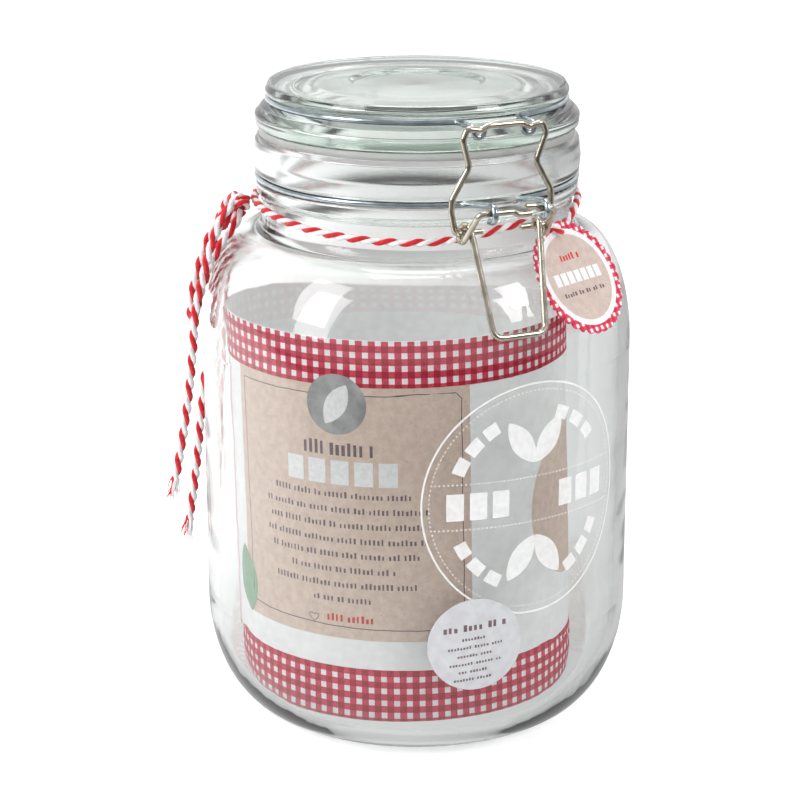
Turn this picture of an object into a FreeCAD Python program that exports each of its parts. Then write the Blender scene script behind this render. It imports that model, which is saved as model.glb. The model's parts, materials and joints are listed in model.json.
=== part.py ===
"""Clip-top glass storage jar with a paper roll inside, a round hang tag and a twine bow at its neck.

The frame is in millimetres: the origin is the centre of the base, +Z is up, and the clasp is on -Y.
"""
import FreeCAD, Part
import math
import os

V = FreeCAD.Vector

# Driving dimensions of the glass
BODY_R = 70.6
BODY_TOP_Z = 126.0
HEEL_R = 46.8
HEEL_Z = 39.4
SHOULDER_RISE = 38.0
NECK_R = 50.8
NECK_FILLET = 3.0
WALL = 3.6
FLOOR = 5.0
KICK_UP = 2.4
KICK_UP_R = 41.8
MOUTH_R = 46.0
MOUTH_Z = 195.2
LID_TOP_Z = 211.7

# Wires of the clip
WIRE_R = 1.0
EYE_R = 2.3
NECK_WIRE_R = 51.9
NECK_WIRE_Z = 181.6
LID_WIRE_R = 48.15
LID_WIRE_Z = 206.6
PIVOT_R = 69.0
PIVOT_Z = 182.2
HOOK_R = 2.7
HOOK_T = 9.0
LINK_EYE_R = 58.6
LINK_EYE_Z = 174.4
LINK_TOP_R = 60.4
LINK_TOP_Z = 207.0
LEVER_FOOT = (8.9, 71.8, 143.6)
HINGE_R = 60.0
HINGE_Z = 184.6
HINGE_EYE_T = 7.0
HINGE_BAR_T = 12.0

# Seal, paper, sticker and tag
GASKET_INNER_R = 46.0
GASKET_OUTER_R = 51.2
GASKET_T = 2.3
PAPER_RIMS = ((56.2, 3.2, 12.7), (55.7, 7.0, 139.5))   # radius, shift, height of each rim
PAPER_LEAN_AZIMUTH = -116.0
PAPER_T = 0.5
STICKER_R = 15.5
STICKER_T = 0.25
STICKER_AZIMUTH = -10.8
STICKER_Z = 43.3
TAG_R = 19.1
TAG_T = 0.5
TAG_SCALLOPS = 34
TAG_SCALLOP_R = 1.75
TAG_AZIMUTH = 25.4
TAG_CENTRE = (64.4, 156.0)
TAG_FACE_AZIMUTH = 23.0
TAG_RISE = 31.6

# Twine: routes are lists of (azimuth from the clasp towards +X, radius, height)
TWINE_R = 1.4
TAG_HOLE_PLAY = 0.25
KNOT_R = 3.3
KNOT_AT = (-106.0, 57.2, 173.4)
NECK_TWINE = [
    (-106.0, 53.4, 173.4), (-84.0, 53.4, 172.4), (-62.0, 53.4, 171.0), (-40.0, 53.4, 170.0),
    (-20.0, 53.4, 169.9), (-3.0, 53.4, 172.0), (11.0, 53.2, 174.3), (19.5, 56.0, 173.4),
    (23.6, 58.8, 170.9), (27.6, 56.0, 167.7), (34.0, 53.6, 169.6), (45.0, 53.4, 172.8),
    (66.0, 53.4, 174.0), (88.0, 53.4, 173.4), (110.0, 53.4, 173.6), (132.0, 53.4, 174.0),
    (154.0, 53.4, 173.6), (176.0, 53.4, 173.8), (198.0, 53.4, 173.6), (220.0, 53.4, 173.8),
    (238.0, 53.4, 173.6),
]
BOW_LOOP = [
    (-107.0, 59.6, 172.8), (-109.5, 64.2, 168.0), (-111.5, 68.4, 160.0), (-112.2, 71.4, 151.0),
    (-112.6, 73.8, 142.4), (-111.4, 74.4, 136.8), (-109.8, 74.6, 133.6), (-106.9, 74.4, 133.4),
    (-105.2, 73.6, 136.6), (-104.5, 72.2, 142.4), (-104.4, 70.2, 149.4), (-104.5, 66.8, 156.6),
    (-104.8, 62.8, 162.6), (-105.4, 59.4, 166.8), (-106.0, 57.2, 170.8),
]
SHORT_LOOP = [
    (-108.8, 59.0, 173.4), (-113.6, 61.4, 168.6), (-119.6, 66.4, 161.6), (-123.0, 69.4, 154.6),
    (-123.5, 71.6, 148.6), (-122.5, 72.4, 144.6), (-120.2, 72.6, 142.0), (-117.4, 72.4, 143.2),
    (-116.3, 71.6, 147.8), (-116.0, 69.6, 154.6), (-113.4, 66.0, 161.4), (-109.6, 60.6, 167.4),
    (-107.4, 57.6, 171.2),
]
LONG_TAIL = [
    (-108.6, 58.8, 175.0), (-115.0, 60.6, 173.2), (-121.6, 63.6, 168.8), (-127.6, 67.6, 161.0),
    (-131.6, 71.0, 150.0), (-133.4, 72.8, 137.0), (-132.6, 73.0, 123.0), (-129.6, 73.6, 109.0),
    (-127.8, 74.6, 95.5), (-127.0, 75.8, 82.0), (-127.0, 77.4, 68.8), (-127.4, 79.6, 56.0),
]
SHORT_TAIL = [
    (-104.6, 59.0, 175.2), (-101.8, 64.4, 171.0), (-100.6, 68.4, 162.0), (-100.8, 71.4, 151.0),
    (-101.6, 74.2, 139.0), (-102.4, 75.0, 125.0), (-103.6, 76.4, 110.0), (-104.4, 78.6, 95.0),
    (-104.8, 81.4, 80.5),
]


def at(azimuth, radius, z):
    """A point at an azimuth in degrees from the clasp side, turning towards +X."""
    a = math.radians(azimuth)
    return V(radius * math.sin(a), -radius * math.cos(a), z)


def front(t, radius, z):
    """A point of the clasp: t across, radius outwards from the jar's axis."""
    return V(t, -radius, z)


def rear(t, radius, z):
    """A point of the hinge side: t across, radius outwards from the jar's axis."""
    return V(t, radius, z)


def line(a, b):
    return Part.LineSegment(a, b).toShape()


def arc(a, middle, b):
    return Part.Arc(a, middle, b).toShape()


def corner_arc(before, corner, after, radius):
    """The arc of the given radius that rounds a corner between two straight runs."""
    u = (corner - before).normalize()
    v = (after - corner).normalize()
    turn = u.getAngle(v)
    setback = radius * math.tan(turn / 2)
    inward = (v - u).normalize()
    centre = corner + inward * (radius / math.cos(turn / 2))
    return corner - u * setback, centre - inward * radius, corner + v * setback


def rounded(points, radii):
    """Edges of straight runs through the points, joined by tangent arcs of the given radii."""
    edges = []
    last = points[0]
    for before, corner, after, radius in zip(points, points[1:], points[2:], radii):
        if radius > 0:
            start, middle, end = corner_arc(before, corner, after, radius)
        else:
            start = end = corner
        if last.distanceToPoint(start) > 1e-6:
            edges.append(line(last, start))
        if radius > 0:
            edges.append(arc(start, middle, end))
        last = end
    edges.append(line(last, points[-1]))
    return edges


def tube(edges, radius):
    """A round bar swept along edges that meet tangentially."""
    spine = Part.Wire(edges)
    start = edges[0]
    centre = start.valueAt(start.FirstParameter)
    along = start.tangentAt(start.FirstParameter)
    section = Part.Wire(Part.makeCircle(radius, centre, along))
    return spine.makePipeShell([section], True, False)


def revolved(edges):
    """The solid made by turning a closed outline in the XZ plane about the Z axis."""
    face = Part.Face(Part.Wire(edges))
    return face.revolve(V(0, 0, 0), V(0, 0, 1), 360)


def outline(corners):
    """Edges of a closed outline in the XZ plane from corners (r, z, fillet), first and last on the axis."""
    points = [V(r, 0, z) for r, z, fillet in corners]
    radii = [fillet for r, z, fillet in corners[1:-1]]
    return rounded(points, radii) + [line(points[-1], points[0])]


def quarter_ellipse(centre_r, centre_z, half_r, half_z, downwards):
    """A quarter of an ellipse in the XZ plane, from its widest point to its top or bottom."""
    widest = V(centre_r + half_r, 0, centre_z)
    pole = V(centre_r, 0, centre_z - half_z if downwards else centre_z + half_z)
    ellipse = Part.Ellipse(pole, widest, V(centre_r, 0, centre_z))
    return Part.ArcOfEllipse(ellipse, 0, math.pi / 2).toShape()


def jar_blank(offset, neck_r, floor_z, top_edges):
    """The solid inside the outer or inner glass surface: offset is its distance from the outer one."""
    bottom = V(0, 0, floor_z)
    foot = V(HEEL_R, 0, floor_z)
    wall_low = V(BODY_R - offset, 0, HEEL_Z)
    wall_high = V(BODY_R - offset, 0, BODY_TOP_Z)
    fillet = NECK_FILLET + offset * 0.25
    crown_r = neck_r + fillet
    crown_z = BODY_TOP_Z + SHOULDER_RISE - offset
    neck_start = V(neck_r, 0, crown_z + fillet)
    diagonal = fillet * math.sqrt(0.5)
    edges = [
        line(bottom, foot),
        quarter_ellipse(HEEL_R, HEEL_Z, BODY_R - offset - HEEL_R, HEEL_Z - floor_z, True),
        line(wall_low, wall_high),
        quarter_ellipse(crown_r, BODY_TOP_Z, BODY_R - offset - crown_r, SHOULDER_RISE - offset, False),
        arc(V(crown_r, 0, crown_z),
            V(crown_r - diagonal, 0, crown_z + fillet - diagonal),
            neck_start),
    ]
    return edges + top_edges(neck_start) + [line(V(0, 0, MOUTH_Z), bottom)]


def outer_top(neck_start):
    """Neck, lower bead, wire groove, upper bead and rim of the mouth, ending on the axis."""
    groove_r = NECK_WIRE_R - WIRE_R - 0.05
    corners = [
        (NECK_R, 175.0, 1.2), (52.4, 176.6, 1.4), (52.5, 180.4, 0.8), (groove_r, 180.7, 0.3),
        (groove_r, 182.6, 0.3), (52.8, 183.1, 0.9), (53.2, 188.0, 6.0), (52.6, 193.6, 0.9),
        (51.4, MOUTH_Z, 0.7),
    ]
    points = [neck_start] + [V(r, 0, z) for r, z, fillet in corners] + [V(0, 0, MOUTH_Z)]
    return rounded(points, [fillet for r, z, fillet in corners])


def inner_top(neck_start):
    """Plain bore of the neck, ending on the axis."""
    return rounded([neck_start, V(MOUTH_R, 0, MOUTH_Z), V(0, 0, MOUTH_Z)], [0])


def make_jar():
    body = revolved(jar_blank(0, NECK_R, 0, outer_top))
    hollow = revolved(jar_blank(WALL, MOUTH_R, FLOOR, inner_top))
    sphere_r = (KICK_UP_R ** 2 + KICK_UP ** 2) / (2 * KICK_UP)
    dome = Part.makeSphere(sphere_r, V(0, 0, KICK_UP - sphere_r))
    return body.cut(hollow).cut(dome)


def make_lid():
    """Flared disc with a round recess, a groove for its wire, a flange and a locating ring below."""
    top = LID_TOP_Z
    return revolved(outline([
        (0, top - 1.1, 0), (20.6, top - 1.1, 0.8), (22.0, top, 0.8), (48.0, top, 1.2), (49.2, top - 2.2, 0.8),
        (48.9, top - 3.6, 0.4), (47.1, top - 4.2, 0.4), (47.1, 205.6, 0.4), (50.4, 204.3, 1.6),
        (52.7, 201.8, 1.8), (52.4, 198.3, 0.6), (50.6, MOUTH_Z + GASKET_T, 0.3),
        (45.0, MOUTH_Z + GASKET_T, 0.5), (44.6, 193.6, 1.0), (42.0, 193.6, 0.9), (40.4, 201.0, 3.0),
        (34.0, 205.4, 5.0), (0, 205.9, 0),
    ]))


def make_gasket():
    """Flat rubber ring between the mouth's rim and the lid."""
    ring = Part.makeCylinder(GASKET_OUTER_R, GASKET_T, V(0, 0, MOUTH_Z))
    bore = Part.makeCylinder(GASKET_INNER_R, GASKET_T, V(0, 0, MOUTH_Z))
    return ring.cut(bore)


def circle_arc(radius, z, start, end):
    """The arc round the jar's axis between two azimuths."""
    return arc(at(start, radius, z), at((start + end) / 2, radius, z), at(end, radius, z))


def leaving(radius, azimuth, t, z):
    """Where the tangent of a wire circle at an azimuth comes to the offset t from the middle plane."""
    a = math.radians(azimuth)
    run = (radius * math.sin(a) - t) / math.cos(a)
    return radius * math.cos(a) + run * math.sin(a)


def mirrored(points):
    """The points of the other half, in reverse order."""
    return [V(-p.x, p.y, p.z) for p in reversed(points)]


def make_neck_ring():
    """Wire in the collar's groove: two hooks in front, a staple with two eyes at the rear."""
    hook_azimuth = math.degrees(math.asin((HOOK_T + 5.2) / NECK_WIRE_R))
    hook_root = leaving(NECK_WIRE_R, hook_azimuth, HOOK_T, NECK_WIRE_Z)
    hook = [
        at(hook_azimuth, NECK_WIRE_R, NECK_WIRE_Z),
        front(HOOK_T, hook_root, NECK_WIRE_Z),
        front(HOOK_T, PIVOT_R + HOOK_R, PIVOT_Z + HOOK_R),
        front(HOOK_T, PIVOT_R + HOOK_R, PIVOT_Z - HOOK_R),
        front(HOOK_T, PIVOT_R - 1.2, PIVOT_Z - HOOK_R),
    ]
    hook_radii = [4.0, HOOK_R - 0.1, HOOK_R - 0.1]
    rear_azimuth = math.degrees(math.asin((HINGE_EYE_T + 5.2) / NECK_WIRE_R))
    rear_root = leaving(NECK_WIRE_R, rear_azimuth, HINGE_EYE_T, NECK_WIRE_Z)
    staple = [
        at(180 - rear_azimuth, NECK_WIRE_R, NECK_WIRE_Z),
        rear(HINGE_EYE_T, rear_root, NECK_WIRE_Z),
        rear(HINGE_EYE_T, HINGE_R + EYE_R, HINGE_Z - EYE_R),
        rear(HINGE_EYE_T, HINGE_R + EYE_R, HINGE_Z + EYE_R),
        rear(HINGE_EYE_T, HINGE_R - 3.4, HINGE_Z + EYE_R),
    ]
    eye_bend = EYE_R - 0.1
    edges = rounded(mirrored(hook), hook_radii[::-1])
    edges.append(circle_arc(NECK_WIRE_R, NECK_WIRE_Z, -hook_azimuth, rear_azimuth - 180))
    edges += rounded(mirrored(staple)[::-1] + staple[::-1],
                     [3.0, eye_bend, eye_bend, 1.6, 1.6, eye_bend, eye_bend, 3.0])
    edges.append(circle_arc(NECK_WIRE_R, NECK_WIRE_Z, 180 - rear_azimuth, hook_azimuth))
    edges += rounded(hook, hook_radii)
    return tube(edges, WIRE_R)


def make_lid_ring():
    """Wire in the lid's groove: two small cradles in front, a hinge bail down to the neck at the rear."""
    cradle_r = LINK_TOP_R - 2 * WIRE_R - 0.4
    cradle_depth = 3.4

    def cradle(outer_t, inner_t):
        side = math.copysign(1, outer_t)
        azimuth = math.degrees(math.asin((abs(outer_t) + 3.6) / LID_WIRE_R))
        root = leaving(LID_WIRE_R, azimuth, abs(outer_t), LID_WIRE_Z)
        low_z = LINK_TOP_Z - cradle_depth
        points = [
            at(side * azimuth, LID_WIRE_R, LID_WIRE_Z),
            front(outer_t, root, LID_WIRE_Z),
            front(outer_t, cradle_r, LID_WIRE_Z),
            front(outer_t, cradle_r, low_z),
            front(inner_t, cradle_r, low_z),
            front(inner_t, cradle_r, low_z + 2.6),
        ]
        return azimuth, points, [2.4, 1.3, 1.7, 1.7]

    right_azimuth, right, radii = cradle(11.2, 7.6)
    left_azimuth, left, radii = cradle(-9.6, -6.0)
    bail_azimuth = math.degrees(math.asin((HINGE_BAR_T + 4.6) / LID_WIRE_R))
    bail_root = leaving(LID_WIRE_R, bail_azimuth, HINGE_BAR_T, LID_WIRE_Z)
    bail = [
        at(180 - bail_azimuth, LID_WIRE_R, LID_WIRE_Z),
        rear(HINGE_BAR_T, bail_root, LID_WIRE_Z),
        rear(HINGE_BAR_T, HINGE_R, LID_WIRE_Z - 0.4),
        rear(HINGE_BAR_T, HINGE_R, HINGE_Z),
    ]
    edges = rounded(left[::-1], radii[::-1])
    edges.append(circle_arc(LID_WIRE_R, LID_WIRE_Z, -left_azimuth, bail_azimuth - 180))
    edges += rounded(mirrored(bail)[::-1] + bail[::-1], [2.6, 5.0, 2.2, 2.2, 5.0, 2.6])
    edges.append(circle_arc(LID_WIRE_R, LID_WIRE_Z, 180 - bail_azimuth, right_azimuth))
    edges += rounded(right, radii)
    return tube(edges, WIRE_R)


def make_link():
    """Waisted wire bail from the lever's eyes up to the lid wire."""
    r, z = LINK_EYE_R, LINK_EYE_Z
    half = [
        front(6.7, r, z), front(15.9, r, z), front(17.3, r, z + 6.6), front(17.1, r + 0.2, z + 11.0),
        front(11.6, r + 0.6, z + 20.4), front(14.3, LINK_TOP_R - 0.2, LINK_TOP_Z - 3.4),
        front(12.9, LINK_TOP_R, LINK_TOP_Z), front(8.6, LINK_TOP_R, LINK_TOP_Z - 0.9),
        front(5.4, LINK_TOP_R, LINK_TOP_Z + 0.4),
    ]
    half_radii = [1.8, 5.0, 4.0, 3.0, 2.4, 1.6, 3.0, 3.0]
    return tube(rounded(half + mirrored(half), half_radii + half_radii[::-1]), WIRE_R)


def make_lever():
    """Wire lever: pivot ends that overlap in the middle, two cranked eyes and the finger pull."""
    r, z = LINK_EYE_R, LINK_EYE_Z
    foot_t, foot_r, foot_z = LEVER_FOOT
    step = WIRE_R + 0.15
    half = [
        front(13.0, PIVOT_R, PIVOT_Z), front(14.3, r + EYE_R, z - EYE_R), front(13.9, r - EYE_R, z - EYE_R),
        front(12.6, r - EYE_R, z + EYE_R), front(12.0, r + EYE_R, z + EYE_R), front(foot_t, foot_r, foot_z),
    ]
    half_radii = [2.2, 1.9, EYE_R - 0.15, EYE_R - 0.15, 1.9, 3.0]
    right_end = [
        front(2.8, PIVOT_R, PIVOT_Z + step), front(5.8, PIVOT_R, PIVOT_Z + step), front(7.4, PIVOT_R, PIVOT_Z),
    ]
    left_end = [
        front(-1.6, PIVOT_R, PIVOT_Z), front(0.0, PIVOT_R, PIVOT_Z - step), front(4.6, PIVOT_R, PIVOT_Z - step),
    ]
    points = right_end + half + mirrored(half) + left_end
    radii = [2.0, 2.0] + half_radii + half_radii[::-1] + [2.0, 2.0]
    return tube(rounded(points, radii), WIRE_R)


def make_paper_roll():
    """Open roll of paper that leans over to one side of the jar: each rim has a radius, a shift and a height."""
    def skin(inset):
        rims = [
            Part.Wire(Part.makeCircle(radius - inset, at(PAPER_LEAN_AZIMUTH, shift, z)))
            for radius, shift, z in PAPER_RIMS
        ]
        return Part.makeLoft(rims, True, True)

    return skin(0).cut(skin(PAPER_T))


def make_sticker():
    """Round label wrapped on the outside of the body."""
    low, high = STICKER_Z - STICKER_R - 2, STICKER_Z + STICKER_R + 2

    def skin(offset):
        blank = revolved(jar_blank(-offset, NECK_R, -offset, inner_top))
        return blank.common(Part.makeCylinder(BODY_R * 2, high - low, V(0, 0, low)))

    punch = Part.makeCylinder(STICKER_R, BODY_R * 2, V(0, 0, STICKER_Z), at(STICKER_AZIMUTH, 1, 0))
    return skin(STICKER_T + 0.02).cut(skin(0.02)).common(punch)


def tag_frame():
    """Centre of the tag, its outward normal and its upward direction."""
    centre = at(TAG_AZIMUTH, *TAG_CENTRE)
    rise = math.radians(TAG_RISE)
    normal = at(TAG_FACE_AZIMUTH, math.cos(rise), math.sin(rise))
    across = V(0, 0, 1).cross(normal).normalize()
    return centre, normal, across, normal.cross(across)


def make_tag(hole_cutter):
    """Round card with a scalloped edge, threaded on the neck twine."""
    centre, normal, across, upward = tag_frame()
    card = Part.makeCylinder(TAG_R - TAG_SCALLOP_R * 0.6, TAG_T, centre, normal)
    ring_r = TAG_R - TAG_SCALLOP_R
    lobes = []
    for i in range(TAG_SCALLOPS):
        a = 2 * math.pi * i / TAG_SCALLOPS
        lobe_centre = centre + across * (ring_r * math.cos(a)) + upward * (ring_r * math.sin(a))
        lobes.append(Part.makeCylinder(TAG_SCALLOP_R, TAG_T, lobe_centre, normal))
    return card.fuse(lobes).removeSplitter().cut(hole_cutter)


def cord_edges(points, closed=False):
    """Edges of a cord's route: each arc is as large as its two runs allow."""
    if closed:
        middle = (points[0] + points[-1]) * 0.5
        points = [middle] + points + [middle]
    radii = []
    for before, corner, after in zip(points, points[1:], points[2:]):
        turn = (corner - before).getAngle(after - corner)
        run = min(corner.distanceToPoint(before), after.distanceToPoint(corner))
        radii.append(0.45 * run / math.tan(turn / 2))
    return rounded(points, radii), radii


def report_cord(name, edges, radii, solid, radius):
    length = sum(edge.Length for edge in edges)
    area = math.pi * radius ** 2
    print(f"{name}: length {length:.1f}, smallest radius {min(radii):.1f}, "
          f"volume ratio {solid.Volume / (area * length):.4f}")


def make_cord(name, route):
    edges, radii = cord_edges([at(*point) for point in route])
    solid = tube(edges, TWINE_R)
    report_cord(name, edges, radii, solid, TWINE_R)
    return solid


def make_neck_twine(radius):
    """The closed loop round the neck, made of two halves that are joined."""
    edges, radii = cord_edges([at(*point) for point in NECK_TWINE], closed=True)
    half = len(edges) // 2
    solid = tube(edges[:half], radius).fuse(tube(edges[half:], radius)).removeSplitter()
    report_cord("twine_neck", edges, radii, solid, radius)
    return solid


def make_knot():
    return Part.makeSphere(KNOT_R, at(*KNOT_AT))


def main():
    neck_twine = make_neck_twine(TWINE_R)
    shapes = {
        "jar": make_jar(),
        "lid": make_lid(),
        "gasket": make_gasket(),
        "neck_ring": make_neck_ring(),
        "lid_ring": make_lid_ring(),
        "link": make_link(),
        "lever": make_lever(),
        "paper_roll": make_paper_roll(),
        "sticker": make_sticker(),
        "hang_tag": make_tag(make_neck_twine(TWINE_R + TAG_HOLE_PLAY)),
        "twine_neck": neck_twine,
        "twine_knot": make_knot(),
        "twine_bow_loop": make_cord("twine_bow_loop", BOW_LOOP),
        "twine_short_loop": make_cord("twine_short_loop", SHORT_LOOP),
        "twine_long_tail": make_cord("twine_long_tail", LONG_TAIL),
        "twine_short_tail": make_cord("twine_short_tail", SHORT_TAIL),
    }
    os.makedirs("parts", exist_ok=True)
    for name, shape in shapes.items():
        solids = shape.Solids
        print(f"{name}: {len(solids)} solid, valid {shape.isValid()}, volume {shape.Volume:.1f}")
        solids[0].exportStep(f"parts/{name}.step")


main()
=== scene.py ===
# %% [markdown]
# # A clip-top storage jar
# A round glass jar with a wire clasp, a printed paper roll inside, a round hang tag and a red-and-white
# twine bow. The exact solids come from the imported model, and this notebook gives them their looks:
# materials, the print, the twisted twine, and a plain studio. All lengths are in metres.

# %% Load the model
import json
import math
import random

import bpy
from mathutils import Matrix, Vector
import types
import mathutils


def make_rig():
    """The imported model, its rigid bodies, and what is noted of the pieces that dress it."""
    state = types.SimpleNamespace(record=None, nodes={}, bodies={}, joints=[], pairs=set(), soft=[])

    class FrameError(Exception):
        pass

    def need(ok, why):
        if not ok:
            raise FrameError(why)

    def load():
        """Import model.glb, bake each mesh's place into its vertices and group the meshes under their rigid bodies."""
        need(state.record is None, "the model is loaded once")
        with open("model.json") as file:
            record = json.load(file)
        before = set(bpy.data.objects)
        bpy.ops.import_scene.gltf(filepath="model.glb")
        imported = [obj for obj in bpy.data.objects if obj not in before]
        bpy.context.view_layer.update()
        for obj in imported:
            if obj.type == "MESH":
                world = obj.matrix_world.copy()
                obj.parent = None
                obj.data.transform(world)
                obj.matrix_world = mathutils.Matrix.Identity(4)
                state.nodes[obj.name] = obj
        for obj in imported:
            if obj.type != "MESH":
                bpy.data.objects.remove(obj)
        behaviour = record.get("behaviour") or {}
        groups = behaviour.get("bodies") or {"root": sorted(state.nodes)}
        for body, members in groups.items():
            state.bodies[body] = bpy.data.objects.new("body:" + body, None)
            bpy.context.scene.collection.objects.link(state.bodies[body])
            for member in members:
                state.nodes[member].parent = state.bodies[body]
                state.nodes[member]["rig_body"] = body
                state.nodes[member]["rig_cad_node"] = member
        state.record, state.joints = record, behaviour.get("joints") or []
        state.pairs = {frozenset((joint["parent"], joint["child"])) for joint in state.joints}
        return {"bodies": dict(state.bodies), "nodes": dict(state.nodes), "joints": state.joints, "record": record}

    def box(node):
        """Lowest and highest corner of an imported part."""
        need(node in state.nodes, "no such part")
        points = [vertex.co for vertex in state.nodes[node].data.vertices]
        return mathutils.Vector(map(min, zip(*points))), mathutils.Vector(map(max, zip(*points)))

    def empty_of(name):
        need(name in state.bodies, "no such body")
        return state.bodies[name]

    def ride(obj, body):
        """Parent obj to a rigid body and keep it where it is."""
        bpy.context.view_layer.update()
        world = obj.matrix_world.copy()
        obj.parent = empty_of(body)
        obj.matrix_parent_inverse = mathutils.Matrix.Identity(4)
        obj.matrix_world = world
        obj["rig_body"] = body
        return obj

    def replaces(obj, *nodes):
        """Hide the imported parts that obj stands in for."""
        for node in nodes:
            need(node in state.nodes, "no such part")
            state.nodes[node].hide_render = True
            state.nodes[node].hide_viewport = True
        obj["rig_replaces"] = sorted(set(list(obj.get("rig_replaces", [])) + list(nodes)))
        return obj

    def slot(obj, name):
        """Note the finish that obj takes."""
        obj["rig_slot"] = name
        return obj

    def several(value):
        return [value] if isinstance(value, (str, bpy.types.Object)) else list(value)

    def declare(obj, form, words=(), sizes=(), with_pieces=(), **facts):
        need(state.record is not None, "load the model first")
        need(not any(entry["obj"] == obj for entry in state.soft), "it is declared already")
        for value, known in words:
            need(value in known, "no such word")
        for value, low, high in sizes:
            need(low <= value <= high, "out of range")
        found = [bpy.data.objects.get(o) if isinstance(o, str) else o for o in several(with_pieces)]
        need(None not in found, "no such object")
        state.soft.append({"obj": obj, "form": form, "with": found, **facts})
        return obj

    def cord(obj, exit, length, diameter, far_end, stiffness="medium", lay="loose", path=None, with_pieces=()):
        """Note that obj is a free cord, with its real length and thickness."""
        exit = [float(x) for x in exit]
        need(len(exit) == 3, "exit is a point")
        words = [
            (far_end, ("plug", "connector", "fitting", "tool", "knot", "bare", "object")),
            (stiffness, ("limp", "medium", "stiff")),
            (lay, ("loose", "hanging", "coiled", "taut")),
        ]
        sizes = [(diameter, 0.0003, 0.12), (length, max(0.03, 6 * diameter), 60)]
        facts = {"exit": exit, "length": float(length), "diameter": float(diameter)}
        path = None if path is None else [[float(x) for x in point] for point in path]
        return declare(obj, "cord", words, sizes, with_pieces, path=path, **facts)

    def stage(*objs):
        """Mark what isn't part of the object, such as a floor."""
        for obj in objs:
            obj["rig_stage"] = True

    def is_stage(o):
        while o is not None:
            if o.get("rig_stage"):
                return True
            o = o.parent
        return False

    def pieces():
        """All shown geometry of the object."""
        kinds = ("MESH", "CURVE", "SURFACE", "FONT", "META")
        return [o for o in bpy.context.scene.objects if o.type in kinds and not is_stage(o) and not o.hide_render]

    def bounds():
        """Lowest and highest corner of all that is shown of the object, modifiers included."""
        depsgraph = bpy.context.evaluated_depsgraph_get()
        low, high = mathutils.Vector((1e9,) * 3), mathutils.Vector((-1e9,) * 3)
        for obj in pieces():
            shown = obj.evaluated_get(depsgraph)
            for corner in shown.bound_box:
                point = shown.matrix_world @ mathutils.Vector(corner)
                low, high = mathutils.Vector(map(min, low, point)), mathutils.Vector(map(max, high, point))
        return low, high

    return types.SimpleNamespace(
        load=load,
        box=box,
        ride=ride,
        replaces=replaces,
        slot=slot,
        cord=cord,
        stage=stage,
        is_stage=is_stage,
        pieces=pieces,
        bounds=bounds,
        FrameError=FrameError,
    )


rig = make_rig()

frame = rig.load()
cad_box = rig.bounds()
nodes = frame["nodes"]
_, jar_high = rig.box("jar")
body_r = jar_high.x
print("bodies", sorted(frame["bodies"]), "jar radius", round(body_r, 4), "height", round(cad_box[1].z, 4))

# %% [markdown]
# ## Where things are
# A point of the jar is easiest to say as an azimuth from the clasp side, a radius and a height. The
# glass wall is straight in the middle, and a quarter of an ellipse at the shoulder and at the heel, so
# one function gives the radius of the glass at any height. Prints and labels lie on that surface. The
# paper roll inside stands askew: its two rims are circles with middles of their own.

# %% Points on and in the jar
MM = 0.001
HEEL_R, HEEL_Z = 46.8 * MM, 39.4 * MM
BODY_TOP_Z, SHOULDER_RISE, CROWN_R = 126.0 * MM, 38.0 * MM, 53.8 * MM
PAPER_RIMS = ((56.2 * MM, 3.2 * MM, 12.7 * MM), (55.7 * MM, 7.0 * MM, 139.5 * MM))   # radius, shift, height
PAPER_LEAN_AZIMUTH = -116.0
PAPER_SKEW = 0.015   # degrees that the sheet turns for each millimetre of height
PAPER_SKEW_FROM = 80   # millimetres up, where it isn't turned
PAPER_R = PAPER_RIMS[0][0]


def at(azimuth, radius, z):
    """A point at an azimuth in degrees from the clasp side, turning towards +X."""
    a = math.radians(azimuth)
    return Vector((radius * math.sin(a), -radius * math.cos(a), z))


def glass_radius(z):
    """Outer radius of the glass at a height between the base and the neck."""
    if z < HEEL_Z:
        return HEEL_R + (body_r - HEEL_R) * math.sqrt(1 - ((HEEL_Z - z) / HEEL_Z) ** 2)
    if z > BODY_TOP_Z:
        return CROWN_R + (body_r - CROWN_R) * math.sqrt(1 - ((z - BODY_TOP_Z) / SHOULDER_RISE) ** 2)
    return body_r


def paper_point(azimuth, z, lift):
    """A point on the paper roll, which leans over to one side: lift is outwards from the sheet."""
    (low_r, low_shift, low_z), (high_r, high_shift, high_z) = PAPER_RIMS
    share = (z - low_z) / (high_z - low_z)
    centre = at(PAPER_LEAN_AZIMUTH, low_shift + (high_shift - low_shift) * share, 0)
    return centre + at(azimuth, low_r + (high_r - low_r) * share + lift, z)


print("glass radius at the label", round(glass_radius(0.0433), 4), "paper radius", round(PAPER_R, 4))

# %% [markdown]
# ## Camera
# A long lens from a little above gives a calm product view. The camera stands about 26 degrees to the
# left of the clasp, so that the clasp is right of the middle and the bow shows on the left.

# %% Camera
CAMERA_AT = Vector((-377.4, -761.3, 358.5)) * MM
LOOK_AT = Vector((-4.891, 2.386, 103.68)) * MM
camera_data = bpy.data.cameras.new("camera")
camera_data.sensor_width = 36
camera_data.lens = 119.44
camera_data.clip_start, camera_data.clip_end = 0.05, 20
camera = bpy.data.objects.new("camera", camera_data)
bpy.context.scene.collection.objects.link(camera)
camera.location = CAMERA_AT
camera.rotation_mode = "QUATERNION"
camera.rotation_quaternion = (LOOK_AT - CAMERA_AT).to_track_quat("-Z", "Y")
bpy.context.scene.camera = camera
print("camera distance", round((LOOK_AT - CAMERA_AT).length, 3))

# %% [markdown]
# ## Colours and shader nodes
# Colours are written as the familiar hex codes and turned into linear light once, here. One helper adds
# a shader node with its settings and its inputs; an input is either a value or another node's output.


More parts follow.
